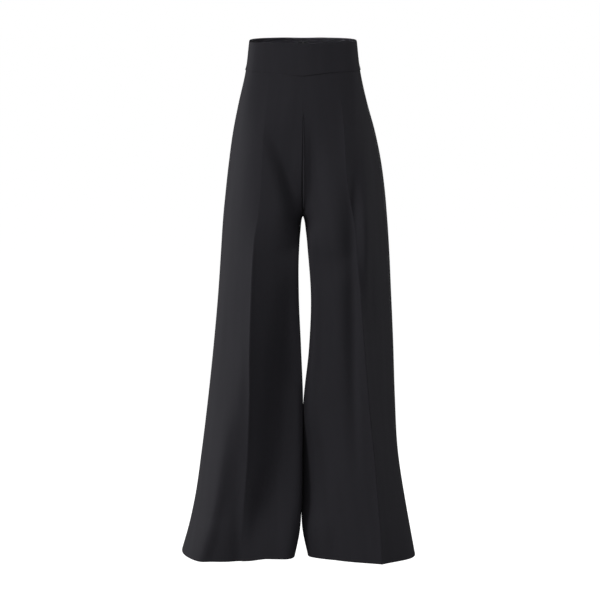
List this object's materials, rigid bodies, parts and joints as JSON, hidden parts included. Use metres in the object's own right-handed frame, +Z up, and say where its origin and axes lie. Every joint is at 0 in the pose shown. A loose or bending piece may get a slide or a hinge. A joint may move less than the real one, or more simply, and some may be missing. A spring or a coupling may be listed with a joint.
{
  "type": "palazzo pants",
  "caption": "High-waisted palazzo pants, filled out as if worn: a wide shaped waistband over two flared legs with pressed creases, open at the waist and hems, with a concealed back zip.",
  "frame": {"origin": "middle of the waist, half way up the waistband, where the wearer holds the pants up", "axes": "+Z up, -Y to the front, +X to the wearer's left"},
  "size_m": [0.5279, 0.2819, 1.1531],
  "materials": {
    "cloth": "matt, finely woven charcoal-black crepe",
    "zip_metal": "black enamel, satin"
  },
  "bodies": {
    "trousers": {"waistband_front": "cloth", "waistband_back_left": "cloth", "waistband_back_right": "cloth", "front_leg_left": "cloth", "front_leg_right": "cloth", "back_leg_left": "cloth", "back_leg_right": "cloth", "zip_slider": "zip_metal"},
    "pull": {"zip_pull": "zip_metal"}
  },
  "joints": [
    {"name": "pull_swing", "type": "hinge", "parent": "trousers", "child": "pull", "pos_m": [0, 0.08864, 0.02668], "axis": [1, 0, 0], "range_deg": [0, 150]}
  ]
}
